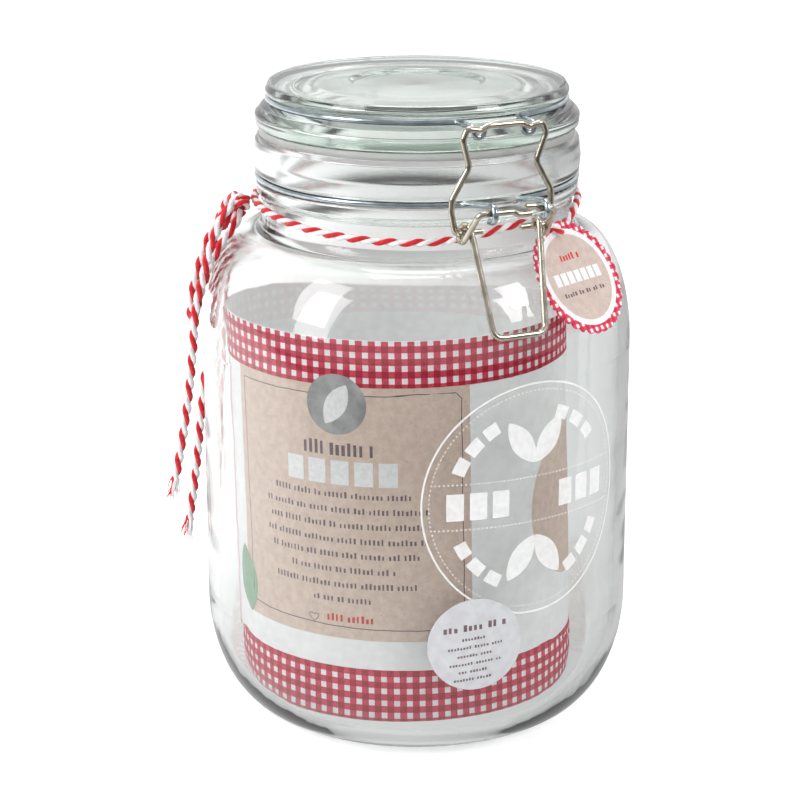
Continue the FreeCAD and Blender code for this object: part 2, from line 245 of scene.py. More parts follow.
# %% Colour and node helpers
def ink(code, alpha=1.0):
    """A hex colour as linear red, green, blue and alpha."""
    channels = [int(code[i:i + 2], 16) / 255 for i in (0, 2, 4)]
    return [c / 12.92 if c <= 0.04045 else ((c + 0.055) / 1.055) ** 2.4 for c in channels] + [alpha]


def add_node(tree, kind, settings=(), inputs=()):
    """Adds one node: settings are its own options, inputs are values or other nodes' outputs."""
    node = tree.nodes.new(kind)
    for name, value in dict(settings).items():
        setattr(node, name, value)
    for name, value in dict(inputs).items():
        if isinstance(value, bpy.types.NodeSocket):
            tree.links.new(value, node.inputs[name])
        else:
            node.inputs[name].default_value = value
    return node


def new_material(name):
    """An empty node material and its tree."""
    material = bpy.data.materials.new(name)
    material.use_nodes = True
    material.node_tree.nodes.clear()
    return material, material.node_tree


def finish_material(tree, inputs):
    """Ends a material in one Principled shader with the given inputs."""
    shader = add_node(tree, "ShaderNodeBsdfPrincipled", {}, inputs)
    add_node(tree, "ShaderNodeOutputMaterial", {}, {"Surface": shader.outputs["BSDF"]})
    return shader


def blotches(tree, scale, dark, light, detail=3.0):
    """A soft cloudy change between two hex colours; scale is in blotches per metre."""
    place = add_node(tree, "ShaderNodeTexCoord")
    noise = add_node(tree, "ShaderNodeTexNoise", {},
                     {"Vector": place.outputs["Object"], "Scale": scale, "Detail": detail})
    ramp = add_node(tree, "ShaderNodeValToRGB", {}, {"Fac": noise.outputs["Fac"]})
    ramp.color_ramp.elements[0].position, ramp.color_ramp.elements[0].color = 0.35, ink(dark)
    ramp.color_ramp.elements[1].position, ramp.color_ramp.elements[1].color = 0.65, ink(light)
    return noise.outputs["Fac"], ramp.outputs["Color"]


print("white in linear light", ink("ffffff")[:3])

# %% [markdown]
# ## Twine
# The twine is two cotton plies, one red and one white, twisted round each other. A real bow is one
# length of it: round the neck, two loops and two tails. Each stretch is a route of a few points, and a
# smooth spline drawn through their neighbourhood gives the soft line of a cord under its own weight.
# The plies could be a picture wrapped on a tube, but then the edge would be straight. Here each ply is
# swept along its own helix round that line, so the silhouette is ribbed as real twine is. A point of a
# route is its azimuth in degrees, its distance from the jar's axis and its height.

# %% Twine routes
TWINE_D = 2.8 * MM
KNOT_AT = (-106.0, 0.0572, 0.1734)
NECK_TWINE = [
    (-106.0, 0.0534, 0.1734), (-84.0, 0.0534, 0.1724), (-62.0, 0.0534, 0.1710), (-40.0, 0.0534, 0.1700),
    (-20.0, 0.0534, 0.1699), (-3.0, 0.0534, 0.1720), (11.0, 0.0532, 0.1743), (19.5, 0.0560, 0.1734),
    (23.6, 0.0588, 0.1709), (27.6, 0.0560, 0.1677), (34.0, 0.0536, 0.1696), (45.0, 0.0534, 0.1728),
    (66.0, 0.0534, 0.1740), (88.0, 0.0534, 0.1734), (110.0, 0.0534, 0.1736), (132.0, 0.0534, 0.1740),
    (154.0, 0.0534, 0.1736), (176.0, 0.0534, 0.1738), (198.0, 0.0534, 0.1736), (220.0, 0.0534, 0.1738),
    (238.0, 0.0534, 0.1736),
]
BOW_LOOP = [
    (-107.0, 0.0596, 0.1728), (-109.5, 0.0642, 0.1680), (-111.5, 0.0684, 0.1600), (-112.2, 0.0714, 0.1510),
    (-112.6, 0.0738, 0.1424), (-111.4, 0.0744, 0.1368), (-109.8, 0.0746, 0.1336), (-106.9, 0.0744, 0.1334),
    (-105.2, 0.0736, 0.1366), (-104.5, 0.0722, 0.1424), (-104.4, 0.0702, 0.1494), (-104.5, 0.0668, 0.1566),
    (-104.8, 0.0628, 0.1626), (-105.4, 0.0594, 0.1668), (-106.0, 0.0572, 0.1708),
]
SHORT_LOOP = [
    (-108.8, 0.0590, 0.1734), (-113.6, 0.0614, 0.1686), (-119.6, 0.0664, 0.1616), (-123.0, 0.0694, 0.1546),
    (-123.5, 0.0716, 0.1486), (-122.5, 0.0724, 0.1446), (-120.2, 0.0726, 0.1420), (-117.4, 0.0724, 0.1432),
    (-116.3, 0.0716, 0.1478), (-116.0, 0.0696, 0.1546), (-113.4, 0.0660, 0.1614), (-109.6, 0.0606, 0.1674),
    (-107.4, 0.0576, 0.1712),
]
LONG_TAIL = [
    (-108.6, 0.0588, 0.1750), (-115.0, 0.0606, 0.1732), (-121.6, 0.0636, 0.1688), (-127.6, 0.0676, 0.1610),
    (-131.6, 0.0710, 0.1500), (-133.4, 0.0728, 0.1370), (-132.6, 0.0730, 0.1230), (-129.6, 0.0736, 0.1090),
    (-127.8, 0.0746, 0.0955), (-127.0, 0.0758, 0.0820), (-127.0, 0.0774, 0.0688), (-127.4, 0.0796, 0.0560),
]
SHORT_TAIL = [
    (-104.6, 0.0590, 0.1752), (-101.8, 0.0644, 0.1710), (-100.6, 0.0684, 0.1620), (-100.8, 0.0714, 0.1510),
    (-101.6, 0.0742, 0.1390), (-102.4, 0.0750, 0.1250), (-103.6, 0.0764, 0.1100), (-104.4, 0.0786, 0.0950),
    (-104.8, 0.0814, 0.0805),
]


# %% Smooth lines and frames along them
def smooth_line(name, points, closed=False):
    """Points along the smooth spline that has the given points as its control points."""
    curve = bpy.data.curves.new(name, "CURVE")
    curve.dimensions = "3D"
    spline = curve.splines.new("NURBS")
    spline.points.add(len(points) - 1)
    for control, point in zip(spline.points, points):
        control.co = (*point, 1)
    spline.use_cyclic_u = closed
    spline.order_u = 3
    spline.use_endpoint_u = not closed
    spline.resolution_u = 24
    carrier = bpy.data.objects.new(name, curve)
    mesh = bpy.data.meshes.new_from_object(carrier)
    line = [v.co.copy() for v in mesh.vertices]
    bpy.data.objects.remove(carrier)
    bpy.data.curves.remove(curve)
    bpy.data.meshes.remove(mesh)
    return line


def even_steps(line, step, closed=False):
    """The same line with points at equal steps, and its length."""
    points = line + [line[0]] if closed else line
    lengths = [0.0]
    for a, b in zip(points, points[1:]):
        lengths.append(lengths[-1] + (b - a).length)
    count = max(2, round(lengths[-1] / step))
    even, i = [], 0
    for k in range(count + (0 if closed else 1)):
        along = lengths[-1] * k / count
        while i < len(points) - 2 and lengths[i + 1] < along:
            i += 1
        share = (along - lengths[i]) / max(lengths[i + 1] - lengths[i], 1e-12)
        even.append(points[i].lerp(points[i + 1], min(share, 1.0)))
    return even, lengths[-1]


def frames_along(line, closed=False):
    """For each point its direction and a sideways direction that turns as little as possible."""
    count = len(line)
    directions = []
    for i in range(count):
        before = line[(i - 1) % count] if closed or i > 0 else line[i]
        after = line[(i + 1) % count] if closed or i < count - 1 else line[i]
        directions.append((after - before).normalized())
    side = directions[0].orthogonal().normalized()
    sides = []
    for direction in directions:
        side = (side - direction * side.dot(direction)).normalized()
        sides.append(side.copy())
    return directions, sides


# %% Plies twisted round a line
TIGHT = (0.86 * MM, 0.50 * MM)   # pulled tight: radius of a ply, and its distance from the middle
LOOSE = (1.00 * MM, 0.56 * MM)   # hanging free
TWIST_PITCH = 8.6 * MM
PLY_STEP = 0.42 * MM
PLY_SIDES = 10
PLY_SWELL = 0.05   # how much a ply's thickness varies along it


def ply_mesh(name, line, closed=False, turn=0.0, spun=LOOSE):
    """Two plies twisted round a line as one mesh: material 0 on one ply and 1 on the other."""
    centre, length = even_steps(line, PLY_STEP, closed)
    directions, sides = frames_along(centre, closed)
    count = len(centre)
    turns = length / TWIST_PITCH
    slip = 0.0
    if closed:
        turns = round(turns)
        carried = (sides[-1] - directions[0] * sides[-1].dot(directions[0])).normalized()
        slip = math.atan2(carried.cross(sides[0]).dot(directions[0]), carried.dot(sides[0]))
    verts, faces, uvs, slots = [], [], [], []
    rng = random.Random(name)
    for ply in range(2):
        base = len(verts)
        swell_from = rng.uniform(0, 6.28)
        for i in range(count):
            share = i / (count if closed else count - 1)
            angle = turn + ply * math.pi - 2 * math.pi * turns * share + slip * share
            other = directions[i].cross(sides[i])
            outward = sides[i] * math.cos(angle) + other * math.sin(angle)
            across = directions[i].cross(outward)
            radius = spun[0] * (1 + PLY_SWELL * math.sin(share * turns * 5.3 + swell_from))
            for j in range(PLY_SIDES):
                a = 2 * math.pi * j / PLY_SIDES
                bulge = 1.0 + 0.06 * math.cos(2 * a)
                verts.append(centre[i] + outward * (spun[1] + radius * math.cos(a) / bulge)
                             + across * (radius * math.sin(a) * bulge))
        rings = count if closed else count - 1
        for i in range(rings):
            for j in range(PLY_SIDES):
                a, b = base + i * PLY_SIDES, base + (i + 1) % count * PLY_SIDES
                k = (j + 1) % PLY_SIDES
                faces.append((a + j, a + k, b + k, b + j))
                v0, v1 = i * PLY_STEP, (i + 1) * PLY_STEP
                u0, u1 = j / PLY_SIDES, (j + 1) / PLY_SIDES
                uvs += [(u0, v0), (u1, v0), (u1, v1), (u0, v1)]
                slots.append(ply)
        if not closed:
            faces.append(tuple(base + j for j in reversed(range(PLY_SIDES))))
            faces.append(tuple(base + (count - 1) * PLY_SIDES + j for j in range(PLY_SIDES)))
            uvs += [(0.5, 0.0)] * (2 * PLY_SIDES)
            slots += [ply, ply]
    return verts, faces, uvs, slots, centre, length


def mesh_piece(name, verts, faces, materials, body, slots=None, uvs=None):
    """A smooth mesh object with its materials that rides on a body."""
    mesh = bpy.data.meshes.new(name)
    mesh.from_pydata([tuple(v) for v in verts], [], faces)
    for material in materials:
        mesh.materials.append(material)
    if slots:
        mesh.polygons.foreach_set("material_index", slots)
    if uvs:
        layer = mesh.uv_layers.new(name="along")
        layer.data.foreach_set("uv", [c for uv in uvs for c in uv])
    mesh.polygons.foreach_set("use_smooth", [True] * len(mesh.polygons))
    mesh.update()
    piece = bpy.data.objects.new(name, mesh)
    bpy.context.scene.collection.objects.link(piece)
    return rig.ride(piece, body)


# %% [markdown]
# ## Cotton
# Spun cotton is soft and quite matt, with fine fibres that lie along the ply at a slant. A striped wave
# along the ply's own coordinates raises those fibres, a noise breaks them up, and a little sheen gives
# the pale bloom that fuzz has at the edges. The two plies differ only in their dye.


# %% Cotton material
def cotton(name, dark, light):
    """Matt spun yarn: slanting fibres, uneven dye and a soft bloom."""
    material, tree = new_material(name)
    _, colour = blotches(tree, 900, dark, light)
    place = add_node(tree, "ShaderNodeUVMap", {"uv_map": "along"})
    slant = add_node(tree, "ShaderNodeMapping", {},
                     {"Vector": place.outputs["UV"], "Rotation": (0, 0, 0.9), "Scale": (9.0, 2600.0, 1.0)})
    fibres = add_node(tree, "ShaderNodeTexWave", {"bands_direction": "Y"},
                      {"Vector": slant.outputs["Vector"], "Scale": 0.5, "Distortion": 3.0, "Detail": 2.0})
    bump = add_node(tree, "ShaderNodeBump", {},
                    {"Height": fibres.outputs["Fac"], "Strength": 0.55, "Distance": 0.00012})
    finish_material(tree, {"Base Color": colour, "Roughness": 0.9, "Normal": bump.outputs["Normal"],
                           "Sheen Weight": 0.35, "Sheen Roughness": 0.5, "Specular IOR Level": 0.2})
    return material


red_cotton = cotton("red_cotton", "c8141f", "e02a34")
white_cotton = cotton("white_cotton", "f1eaec", "fcf8f8")
print("two cottons")


# %% [markdown]
# ## Tying the bow
# Each stretch of twine replaces its plain tube. The loops and tails hang free, so each is declared with
# its length, its thickness and the point where it leaves the knot. The ring round the neck is pulled
# tight on the glass and runs through the tag's hole.

# %% Twine pieces
def twine(name, route, closed=False, turn=0.0, spun=LOOSE):
    """A stretch of twine in place of its plain tube, with its centre line and length."""
    line = smooth_line(name, [at(*point) for point in route], closed)
    verts, faces, uvs, slots, centre, length = ply_mesh(name, line, closed, turn, spun)
    piece = mesh_piece(name + "_plies", verts, faces, [red_cotton, white_cotton], "jar", slots, uvs)
    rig.replaces(piece, name)
    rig.slot(piece, "twine_yarn")
    print(name, "length", round(length * 1000, 1), "mm, faces", len(faces))
    return piece, centre, length


twine("twine_neck", NECK_TWINE, closed=True, spun=TIGHT)
bow_piece, bow_line, bow_length = twine("twine_bow_loop", BOW_LOOP, turn=0.4)
short_piece, short_line, short_length = twine("twine_short_loop", SHORT_LOOP, turn=1.6)
long_piece, long_line, long_length = twine("twine_long_tail", LONG_TAIL, turn=2.3)
tail_piece, tail_line, tail_length = twine("twine_short_tail", SHORT_TAIL, turn=0.9)

# %% [markdown]
# The knot is two close turns of the same twine round the crossing, so it is swept with the same plies
# along a short, tight coil.

# %% Knot
COIL_R, COIL_RISE, COIL_OUT = 2.7 * MM, 0.30 * MM, 0.9 * MM
COIL_POINTS, COIL_POINTS_PER_TURN = 15, 6.5
knot_out = at(KNOT_AT[0], 1, 0)
knot_side = knot_out.cross(Vector((0, 0, 1)))
knot_axis = (knot_side * 0.75 + Vector((0, 0, 0.65))).normalized()
knot_across = knot_axis.cross(knot_out).normalized()
knot_points = []
for k in range(COIL_POINTS):
    a = 2 * math.pi * k / COIL_POINTS_PER_TURN
    knot_points.append(at(*KNOT_AT) + knot_out * COIL_OUT + knot_out * (COIL_R * math.cos(a))
                       + knot_across * (COIL_R * math.sin(a)) + knot_axis * ((k - COIL_POINTS // 2) * COIL_RISE))
verts, faces, uvs, slots, _, knot_length = ply_mesh("knot", smooth_line("knot", knot_points), spun=TIGHT)
knot = mesh_piece("twine_knot_turns", verts, faces, [red_cotton, white_cotton], "jar", slots, uvs)
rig.replaces(knot, "twine_knot")
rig.slot(knot, "twine_yarn")
print("knot length", round(knot_length * 1000, 1), "mm")

# %% [markdown]
# ## Frayed ends
# Cut cotton twine opens at its ends. The plies part, and each splits into a brush of thin yarns that
# spread a little. Every yarn is a thin tapering tube along its own small curve, with a seeded random
# spread so that it comes out the same each time.

# %% Frayed ends
YARNS = 34
YARN_R = 0.21 * MM
YARN_POINTS = 7


def thin_tube(line, radii, sides=6):
    """Vertices and faces of a round tube along a line, with a radius for each point."""
    directions, side_list = frames_along(line)
    verts, faces = [], []
    for point, direction, side, radius in zip(line, directions, side_list, radii):
        other = direction.cross(side)
        for j in range(sides):
            a = 2 * math.pi * j / sides
            verts.append(point + side * (radius * math.cos(a)) + other * (radius * math.sin(a)))
    for i in range(len(line) - 1):
        for j in range(sides):
            k = (j + 1) % sides
            faces.append((i * sides + j, i * sides + k, (i + 1) * sides + k, (i + 1) * sides + j))
    faces.append(tuple(reversed(range(sides))))
    faces.append(tuple((len(line) - 1) * sides + j for j in range(sides)))
    return verts, faces


def frayed_end(name, line, length, spread, seed):
    """A brush of thin yarns that goes on from the end of a line."""
    rng = random.Random(seed)
    tip, direction = line[-1], (line[-1] - line[-4]).normalized()
    side = direction.orthogonal().normalized()
    other = direction.cross(side)
    verts, faces, slots = [], [], []
    for k in range(YARNS):
        red = k % 2 == 0
        ply_angle = 2.0 + (0 if red else math.pi)
        ply_at = (side * math.cos(ply_angle) + other * math.sin(ply_angle)) * LOOSE[1]
        a, r = rng.uniform(0, 6.283), LOOSE[0] * math.sqrt(rng.random()) * 0.8
        start = tip - direction * 1.2 * MM + ply_at + (side * math.cos(a) + other * math.sin(a)) * r
        out = (ply_at.normalized() * rng.uniform(0.2, 1.0)
               + (side * math.cos(a) + other * math.sin(a)) * rng.uniform(0.0, 0.7))
        reach = length * rng.uniform(0.65, 1.0)
        bend = spread * rng.uniform(0.3, 1.0)
        curl = other * rng.uniform(-0.6, 0.6) * MM
        shares = [s / (YARN_POINTS - 1) for s in range(YARN_POINTS)]
        points = [start + direction * (reach * t) + out * (bend * t ** 1.7)
                  + curl * math.sin(3.0 * t) + Vector((0, 0, -0.4 * MM * t * t)) for t in shares]
        tube_verts, tube_faces = thin_tube(points, [YARN_R * (1 - 0.55 * t) for t in shares])
        base = len(verts)
        verts += tube_verts
        faces += [tuple(base + i for i in face) for face in tube_faces]
        slots += [0 if red else 1] * len(tube_faces)
    uvs = [(0.5, 0.0)] * sum(len(face) for face in faces)
    piece = mesh_piece(name, verts, faces, [red_cotton, white_cotton], "jar", slots, uvs)
    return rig.slot(piece, "twine_yarn")


long_fray = frayed_end("long_tail_fray", long_line, 8.5 * MM, 1.9 * MM, 5)
tail_fray = frayed_end("short_tail_fray", tail_line, 7.5 * MM, 1.8 * MM, 8)

for piece, line, length, end, extra in (
    (bow_piece, bow_line, bow_length, "object", []),
    (short_piece, short_line, short_length, "object", []),
    (long_piece, long_line, long_length, "bare", [long_fray]),
    (tail_piece, tail_line, tail_length, "bare", [tail_fray]),
):
    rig.cord(piece, exit=line[0], length=length, diameter=TWINE_D, far_end=end, stiffness="limp", lay="hanging",
            path=line, with_pieces=extra)
print("four free cords declared")

# %% [markdown]
# ## Glass
# The jar is pressed soda-lime glass. It is a solid with an inner and an outer surface, so light bends
# through it as through the real one, and the material is a plain clear dielectric. Three things keep it
# from looking computed: a hardly visible waviness of the surface, which pressed glass always has, a
# slight haze on the collar and the lid, and a trace of green, strongest in the lid.

# %% Glass materials
CLEAR_BELOW, HAZY_ABOVE = 0.150, 0.166


def pressed_glass(name, tint, wave_scale, wave_depth, rough):
    """Clear glass with a faint tint and a gentle waviness; above the shoulder the mould leaves it hazy."""
    material, tree = new_material(name)
    place = add_node(tree, "ShaderNodeTexCoord")
    stretch = add_node(tree, "ShaderNodeMapping", {},
                       {"Vector": place.outputs["Object"], "Scale": (1.0, 1.0, 2.2)})
    waves = add_node(tree, "ShaderNodeTexNoise", {},
                     {"Vector": stretch.outputs["Vector"], "Scale": wave_scale, "Detail": 1.0})
    bump = add_node(tree, "ShaderNodeBump", {},
                    {"Height": waves.outputs["Fac"], "Strength": 0.5, "Distance": wave_depth})
    height = add_node(tree, "ShaderNodeSeparateXYZ", {}, {"Vector": place.outputs["Object"]})
    haze = add_node(tree, "ShaderNodeMapRange", {},
                    {"Value": height.outputs["Z"], "From Min": CLEAR_BELOW, "From Max": HAZY_ABOVE,
                     "To Max": rough})
    finish_material(tree, {"Base Color": tint, "Roughness": haze.outputs["Result"], "IOR": 1.52,
                           "Transmission Weight": 1.0, "Normal": bump.outputs["Normal"]})
    return material


def dress(node, material):
    """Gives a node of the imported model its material."""
    mesh = nodes[node].data
    mesh.materials.clear()
    mesh.materials.append(material)


jar_glass = pressed_glass("jar_glass", ink("fafcfb"), 26, 0.0006, 0.12)
lid_glass = pressed_glass("lid_glass", ink("ebf5ef"), 34, 0.0004, 0.10)
dress("jar", jar_glass)
dress("lid", lid_glass)
print("jar faces", len(nodes["jar"].data.polygons), "lid faces", len(nodes["lid"].data.polygons))

# %% [markdown]
# ## Seal
# The seal is a flat ring of pale translucent rubber, moulded and slightly matt. More than half of the
# light goes through it blurred, and the rest gives it its off-white.

# %% Seal material
seal_rubber, tree = new_material("pale_rubber")
_, colour = blotches(tree, 60, "e2e3df", "edeeea")
finish_material(tree, {"Base Color": colour, "Roughness": 0.4, "IOR": 1.42, "Transmission Weight": 0.6})
dress("gasket", seal_rubber)
print("seal in place")

# %% [markdown]
# ## Wires
# The rings round the neck and the lid are zinc-plated: a cool, slightly bluish metal, a little soft in
# its gloss. The link and the lever are nickel-plated: brighter and warmer. Drawn wire carries faint
# lines along its length and small dull patches, so a fine noise varies the roughness and the height.


# %% Plated wire
def plated_wire(name, dark, light, gloss, dull):
    """Bright plated steel wire: cloudy colour, uneven gloss and faint drawing marks."""
    material, tree = new_material(name)
    cloud, colour = blotches(tree, 240, dark, light)
    roughness = add_node(tree, "ShaderNodeMapRange", {},
                         {"Value": cloud, "From Min": 0.3, "From Max": 0.7, "To Min": gloss, "To Max": dull})
    place = add_node(tree, "ShaderNodeTexCoord")
    marks = add_node(tree, "ShaderNodeTexNoise", {},
                     {"Vector": place.outputs["Object"], "Scale": 1500, "Detail": 2.0})
    bump = add_node(tree, "ShaderNodeBump", {},
                    {"Height": marks.outputs["Fac"], "Strength": 0.12, "Distance": 0.00003})
    finish_material(tree, {"Base Color": colour, "Metallic": 1.0, "Roughness": roughness.outputs["Result"],
                           "Normal": bump.outputs["Normal"]})
    return material


zinc_wire = plated_wire("zinc_plated_wire", "a9b4b9", "c3ccd0", 0.16, 0.28)
nickel_wire = plated_wire("nickel_plated_wire", "bdb5a4", "d8d0c0", 0.13, 0.24)
dress("neck_ring", zinc_wire)
dress("lid_ring", zinc_wire)
dress("link", nickel_wire)
dress("lever", nickel_wire)
print("four wires plated")

# %% [markdown]
# ## Paper roll
# Thin printing paper is matt, with fibres just visible. The print on it could be one picture, but drawn
# shapes stay sharp at any distance. So the sheet keeps its plain paper material, and every ink is a
# skin a few hundredths of a millimetre above it. Flat shapes are laid out in millimetres, across and
# up, and a placing function bends them onto the roll, the glass or the tag.


# %% Flat shapes
def strip(x0, x1, y0, y1, step=1.5):
    """A flat rectangle in columns, so that it can be bent."""
    count = max(1, math.ceil(abs(x1 - x0) / step))
    points = [(x0 + (x1 - x0) * i / count, y) for i in range(count + 1) for y in (y0, y1)]
    return points, [(2 * i, 2 * i + 2, 2 * i + 3, 2 * i + 1) for i in range(count)]


def blob(x, y, outline, rings=4, sides=48):
    """A filled shape from its distance to the middle at each angle."""
    points, faces = [(x, y)], []
    for ring in range(1, rings + 1):
        for j in range(sides):
            a = 2 * math.pi * j / sides
            r = outline(a) * ring / rings
            points.append((x + r * math.cos(a), y + r * math.sin(a)))
    for j in range(sides):
        faces.append((0, 1 + j, 1 + (j + 1) % sides))
    for ring in range(rings - 1):
        a, b = 1 + ring * sides, 1 + (ring + 1) * sides
        for j in range(sides):
            k = (j + 1) % sides
            faces.append((a + j, b + j, b + k, a + k))
    return points, faces


def ribbon(path, width):
    """A flat line of the given width along points."""
    points, faces = [], []
    for i, (x, y) in enumerate(path):
        before, after = path[max(i - 1, 0)], path[min(i + 1, len(path) - 1)]
        dx, dy = after[0] - before[0], after[1] - before[1]
        length = math.hypot(dx, dy) or 1.0
        points += [(x - dy / length * width / 2, y + dx / length * width / 2),
                   (x + dy / length * width / 2, y - dx / length * width / 2)]
    for i in range(len(path) - 1):
        faces.append((2 * i + 1, 2 * i + 3, 2 * i + 2, 2 * i))
    return points, faces


def ring_path(x, y, r, start=0.0, end=360.0, count=96):
    """Points along an arc, for a ribbon."""
    angles = [math.radians(start + (end - start) * i / count) for i in range(count + 1)]
    return [(x + r * math.cos(a), y + r * math.sin(a)) for a in angles]


def printed(name, shapes, place, material, slot="printed_paper"):
    """One skin of ink from flat shapes, laid by a placing function from millimetres to the jar."""
    verts, faces = [], []
    for points, shape_faces in shapes:
        base = len(verts)
        verts += [place(x, y) for x, y in points]
        faces += [tuple(base + i for i in face) for face in shape_faces]
    piece = mesh_piece(name, verts, faces, [material], "jar")
    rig.slot(piece, slot)


def on_roll(azimuth, height, lift):
    """Places flat millimetres on the paper roll round a middle point; the sheet is rolled a little askew."""
    def place(x, y):
        askew = PAPER_SKEW * (height + y - PAPER_SKEW_FROM)
        return paper_point(azimuth + askew + math.degrees(x * MM / PAPER_R), (height + y) * MM, lift * MM)
    return place


def on_glass(azimuth, height, lift):
    """Places flat millimetres on the outside of the glass round a middle point."""
    def place(x, y):
        z = (height + y) * MM
        return at(azimuth + math.degrees(x * MM / body_r), glass_radius(z) + lift * MM, z)
    return place


print("flat shapes ready")

# %% [markdown]
# Ink on paper is as matt as the paper and never quite even. A fine noise shows the fibres through it.
# Kraft board is the same recipe in brown, with darker flecks.


# %% Paper and ink materials
def paper(name, dark, light, scale=700, rough=0.75, fleck=None):
    """Matt paper or ink: uneven tone, fine fibres in the height, and flecks where asked."""
    material, tree = new_material(name)
    fine, colour = blotches(tree, scale, dark, light, 4.0)
    if fleck:
        place = add_node(tree, "ShaderNodeTexCoord")
        spots = add_node(tree, "ShaderNodeTexNoise", {},
                         {"Vector": place.outputs["Object"], "Scale": 1900, "Detail": 1.0})
        mask = add_node(tree, "ShaderNodeMapRange", {},
                        {"Value": spots.outputs["Fac"], "From Min": 0.64, "From Max": 0.7, "To Max": 0.5})
        mixed = add_node(tree, "ShaderNodeMix", {"data_type": "RGBA"},
                         {"Factor": mask.outputs["Result"], "A": colour, "B": ink(fleck)})
        colour = mixed.outputs["Result"]
    bump = add_node(tree, "ShaderNodeBump", {}, {"Height": fine, "Strength": 0.25, "Distance": 0.00005})
    finish_material(tree, {"Base Color": colour, "Roughness": rough, "Normal": bump.outputs["Normal"],
                           "Specular IOR Level": 0.3})
    return material


plain_paper = paper("printing_paper", "f1f1f2", "f9f9f9", 260)
ghost_print = paper("ghost_of_print", "f1e7ea", "f6eef0", 260)
kraft = paper("kraft_print", "d6bfb1", "e3cdc0", 420, fleck="b39b8d")
gingham_red = paper("gingham_red", "cf3a55", "da445f")
gingham_deep = paper("gingham_deep_red", "a8142e", "b51c36")
soft_black = paper("soft_black_ink", "4a3f40", "5c5051")
greige_ink = paper("heading_ink", "6a5a5c", "7b6a6c")
white_ink = paper("white_ink", "e8e8e8", "f4f4f4")
leaf_ink = paper("leaf_green_ink", "86a88c", "98b79d")
grey_ink = paper("grey_print", "8f8f8f", "b3b3b3", 160)
red_ink = paper("red_ink", "cf3a34", "dc4a42")
pink_ink = paper("pale_pink_ink", "e5c3cb", "ecd3d9", 300)
dress("paper_roll", plain_paper)
print("papers and inks")

# %% [markdown]
# ## Gingham
# Gingham is woven from white and red threads in equal bands: white where both are white, mid red where
# they mix, deep red where both are red. Printed, it is three flat tones. The band keeps the paper's
# white for the first, and has one skin of ink for each of the others. The print shows through the sheet
# as a faint pink on its inner side.

# %% Gingham bands
GINGHAM_PITCH = 4.08
WHITE_SHARE = 0.46
TOP_ROW_SHARE = 0.8   # the sheet is cut within the topmost white row
UPPER_BAND = (124.4, 139.5)
LOWER_BAND = (12.7, 30.0)
GHOST_LIFT = -0.56   # just inside the inner face of the sheet


def gingham(name, low_z, high_z, start_white):
    """A gingham band round the whole roll in two inks."""
    around = 2 * math.pi * PAPER_R / MM
    columns = round(around / GINGHAM_PITCH)
    pitch = around / columns
    clear = pitch * WHITE_SHARE
    rows, z = [], high_z
    white = start_white
    while z > low_z + 1e-6:
        tall = GINGHAM_PITCH * (WHITE_SHARE if white else 1 - WHITE_SHARE)
        if z == high_z and white:
            tall *= TOP_ROW_SHARE
        rows.append((max(z - tall, low_z), z, white))
        z -= tall
        white = not white
    mid, deep = [], []
    for bottom, top, white in rows:
        for k in range(columns):
            x = k * pitch
            if white:
                mid.append(strip(x + clear, x + pitch, bottom, top))
            else:
                mid.append(strip(x, x + clear, bottom, top))
                deep.append(strip(x + clear, x + pitch, bottom, top))
    printed(name + "_mid", mid, on_roll(0, 0, 0.05), gingham_red)
    printed(name + "_deep", deep, on_roll(0, 0, 0.05), gingham_deep)
    print(name, len(rows), "rows,", columns, "columns")


gingham("upper_gingham", *UPPER_BAND, True)
gingham("lower_gingham", *LOWER_BAND, False)
ghost = [strip(k * GINGHAM_PITCH, k * GINGHAM_PITCH + 2.2, 124.4, 139.4) for k in range(86)]
ghost += [strip(0, 351, 124.6 + k * GINGHAM_PITCH, 126.8 + k * GINGHAM_PITCH) for k in range(4)]
printed("ghost_gingham", ghost, on_roll(0, 0, GHOST_LIFT), ghost_print)

# %% [markdown]
# ## The printed panel
# Below the upper band lies a kraft-coloured panel with a thin border that looks drawn by hand, a round
# picture, a heading, a title and eight lines of small text. The words are left out: rows of short
# dashes keep their place, length and tone. The picture is a plain leaf on a grey disc.

# %% Panel and border
PANEL_FROM, PANEL_TO = -89.0, -2.6   # azimuths of its sides
PANEL_FOOT, PANEL_HEAD = 39.9, 124.4
PANEL_MID = (PANEL_FROM + PANEL_TO) / 2
half_panel = math.radians(PANEL_TO - PANEL_FROM) / 2 * PAPER_R / MM
printed("kraft_panel", [strip(-half_panel, half_panel, PANEL_FOOT, PANEL_HEAD)], on_roll(PANEL_MID, 0, 0.04),
        kraft)


def hand_drawn(points, sway, seed):
    """A slightly wandering path through the points."""
    rng = random.Random(seed)
    path, drift = [], (0.0, 0.0)
    for (xa, ya), (xb, yb) in zip(points, points[1:]):
        steps = max(2, round(math.hypot(xb - xa, yb - ya) / 2.5))
        for s in range(steps):
            drift = (drift[0] * 0.8 + rng.uniform(-sway, sway), drift[1] * 0.8 + rng.uniform(-sway, sway))
            path.append((xa + (xb - xa) * s / steps + drift[0], ya + (yb - ya) * s / steps + drift[1]))
    return path + [points[-1]]


edge = half_panel - 3.0
border = [(-edge, 120.8), (edge - 2.0, 122.2), (edge, 120.3), (edge + 0.3, 43.5), (-edge + 1.0, 44.6),
          (-edge, 120.8)]
printed("panel_border", [ribbon(hand_drawn(border, 0.12, 3), 0.28)], on_roll(PANEL_MID, 0, 0.07), soft_black)
print("panel half width", round(half_panel, 1), "mm")


